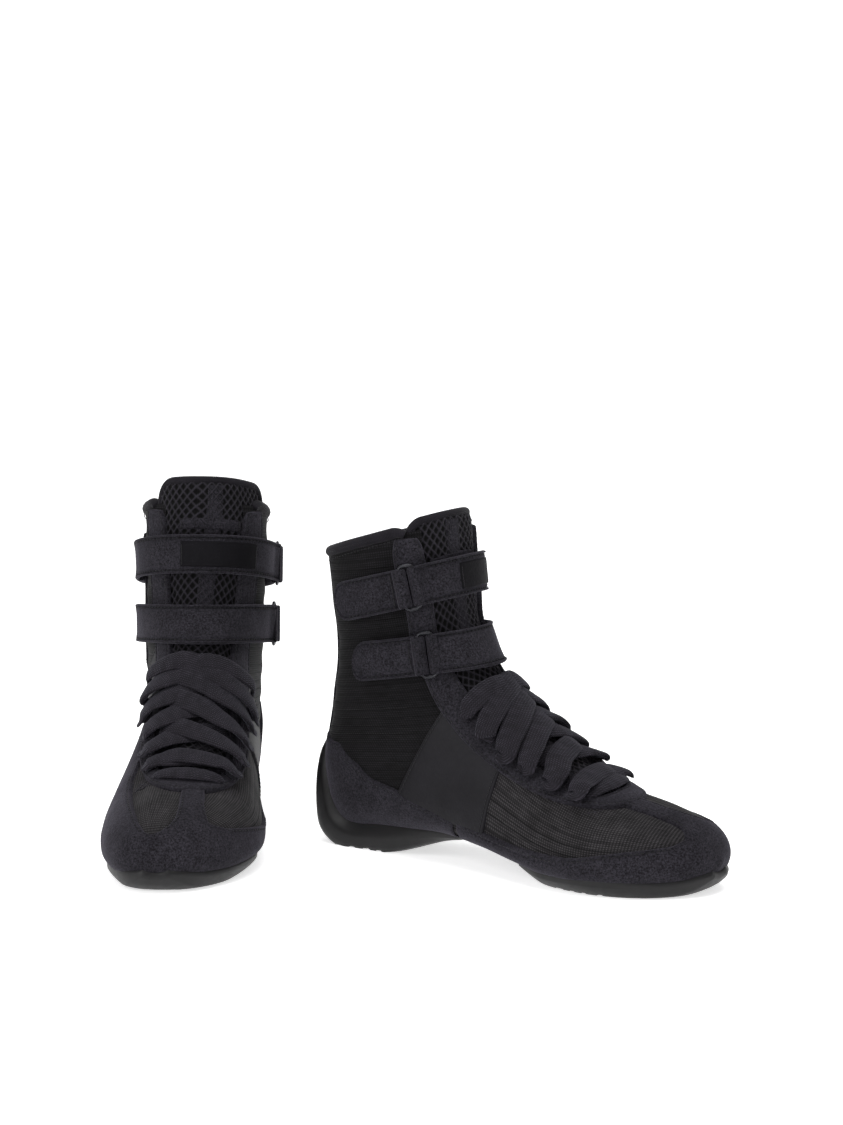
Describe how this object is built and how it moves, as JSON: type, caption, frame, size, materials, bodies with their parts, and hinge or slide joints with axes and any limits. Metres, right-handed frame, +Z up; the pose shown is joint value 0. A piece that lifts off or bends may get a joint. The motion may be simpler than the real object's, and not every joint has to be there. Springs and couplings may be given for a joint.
{
  "type": "pair of boxing boots",
  "caption": "Ankle-high laced boxing boots in mesh and suede, with padded tongues, ankle straps on metal rings and split rubber soles, standing one turned beside the other.",
  "frame": {"origin": "centre of the bounding box of the pair, on the ground", "axes": "+Z up; -Y points to the front view: the left boot points to -Y and the right boot is turned 35 degrees from +X towards -Y"},
  "size_m": [0.3509, 0.2756, 0.2066],
  "materials": {
    "suede": "near-black suede, short nap",
    "mesh": "black ribbed and open knitted mesh",
    "leather": "smooth dark grey synthetic leather",
    "rubber": "black rubber, semi-matt",
    "textile": "smooth black textile",
    "lace": "flat woven black lace",
    "metal": "dark gunmetal plating, satin",
    "board": "pressed cellulose board, matt",
    "foam": "textile-covered foam",
    "stiffener": "thermoplastic stiffener, matt"
  },
  "bodies": {
    "left_boot": {"left_vamp_mesh": "mesh", "left_lateral_quarter": "mesh", "left_medial_quarter": "mesh", "left_toe_rand": "suede", "left_heel_foxing": "suede", "left_eyestay": "suede", "left_lateral_saddle": "leather", "left_medial_saddle": "leather", "left_backstay": "suede", "left_strap_anchor": "suede", "left_collar_binding": "textile", "left_lining": "textile", "left_heel_counter": "stiffener", "left_toe_puff": "stiffener", "left_insole_board": "board", "left_sockliner": "foam", "left_tongue": "mesh", "left_tongue_binding": "textile", "left_tongue_trim": "suede", "left_lace": "lace", "left_heel_outsole": "rubber", "left_forefoot_outsole": "rubber"},
    "right_boot": {"right_vamp_mesh": "mesh", "right_lateral_quarter": "mesh", "right_medial_quarter": "mesh", "right_toe_rand": "suede", "right_heel_foxing": "suede", "right_eyestay": "suede", "right_lateral_saddle": "leather", "right_medial_saddle": "leather", "right_backstay": "suede", "right_strap_anchor": "suede", "right_collar_binding": "textile", "right_lining": "textile", "right_heel_counter": "stiffener", "right_toe_puff": "stiffener", "right_insole_board": "board", "right_sockliner": "foam", "right_tongue": "mesh", "right_tongue_binding": "textile", "right_tongue_trim": "suede", "right_lace": "lace", "right_heel_outsole": "rubber", "right_forefoot_outsole": "rubber"},
    "left_upper_strap": {"left_upper_strap": "suede", "left_strap_label": "leather"},
    "left_upper_ring": {"left_upper_ring": "metal"},
    "left_upper_tab": {"left_upper_tab": "suede"},
    "left_lower_strap": {"left_lower_strap": "suede"},
    "left_lower_ring": {"left_lower_ring": "metal"},
    "left_lower_tab": {"left_lower_tab": "suede"},
    "right_upper_strap": {"right_upper_strap": "suede", "right_strap_label": "leather"},
    "right_upper_ring": {"right_upper_ring": "metal"},
    "right_upper_tab": {"right_upper_tab": "suede"},
    "right_lower_strap": {"right_lower_strap": "suede"},
    "right_lower_ring": {"right_lower_ring": "metal"},
    "right_lower_tab": {"right_lower_tab": "suede"}
  },
  "joints": [
    {"name": "right_boot_lift", "type": "slide", "parent": "left_boot", "child": "right_boot", "axis": [0, 0, 1], "range_m": [0, 0.25]},
    {"name": "left_upper_strap_open", "type": "hinge", "parent": "left_boot", "child": "left_upper_strap", "pos_m": [-0.16516, 0.07846, 0.15359], "axis": [-0.0091, -0.2605, -0.9654], "range_deg": [0, 100]},
    {"name": "left_upper_ring_tilt", "type": "hinge", "parent": "left_upper_strap", "child": "left_upper_ring", "pos_m": [-0.08192, 0.07922, 0.1526], "axis": [-0.0091, -0.2605, -0.9654], "range_deg": [0, 40]},
    {"name": "left_upper_tab_peel", "type": "hinge", "parent": "left_upper_ring", "child": "left_upper_tab", "pos_m": [-0.08191, 0.08888, 0.15], "axis": [-0.0091, -0.2605, -0.9654], "range_deg": [0, 110]},
    {"name": "left_lower_strap_open", "type": "hinge", "parent": "left_boot", "child": "left_lower_strap", "pos_m": [-0.16484, 0.07633, 0.11658], "axis": [-0.0058, -0.1675, -0.9859], "range_deg": [0, 100]},
    {"name": "left_lower_ring_tilt", "type": "hinge", "parent": "left_lower_strap", "child": "left_lower_ring", "pos_m": [-0.08414, 0.0734, 0.1166], "axis": [-0.0058, -0.1675, -0.9859], "range_deg": [0, 40]},
    {"name": "left_lower_tab_peel", "type": "hinge", "parent": "left_lower_ring", "child": "left_lower_tab", "pos_m": [-0.08361, 0.08325, 0.11492], "axis": [-0.0058, -0.1675, -0.9859], "range_deg": [0, 110]},
    {"name": "right_upper_strap_open", "type": "hinge", "parent": "right_boot", "child": "right_upper_strap", "pos_m": [0.02249, 0.02113, 0.15359], "axis": [-0.2135, 0.1495, 0.9654], "range_deg": [0, 100]},
    {"name": "right_upper_ring_tilt", "type": "hinge", "parent": "right_upper_strap", "child": "right_upper_ring", "pos_m": [0.00251, -0.05466, 0.16091], "axis": [-0.2135, 0.1495, 0.9654], "range_deg": [0, 40]},
    {"name": "right_upper_tab_peel", "type": "hinge", "parent": "right_upper_ring", "child": "right_upper_tab", "pos_m": [-0.00722, -0.05417, 0.15868], "axis": [-0.2135, 0.1495, 0.9654], "range_deg": [0, 110]},
    {"name": "right_lower_strap_open", "type": "hinge", "parent": "right_boot", "child": "right_lower_strap", "pos_m": [0.024, 0.01959, 0.11658], "axis": [-0.1373, 0.0961, 0.9859], "range_deg": [0, 100]},
    {"name": "right_lower_ring_tilt", "type": "hinge", "parent": "right_lower_strap", "child": "right_lower_ring", "pos_m": [0.01248, -0.05577, 0.12232], "axis": [-0.1373, 0.0961, 0.9859], "range_deg": [0, 40]},
    {"name": "right_lower_tab_peel", "type": "hinge", "parent": "right_lower_ring", "child": "right_lower_tab", "pos_m": [0.00262, -0.05496, 0.12087], "axis": [-0.1373, 0.0961, 0.9859], "range_deg": [0, 110]}
  ]
}
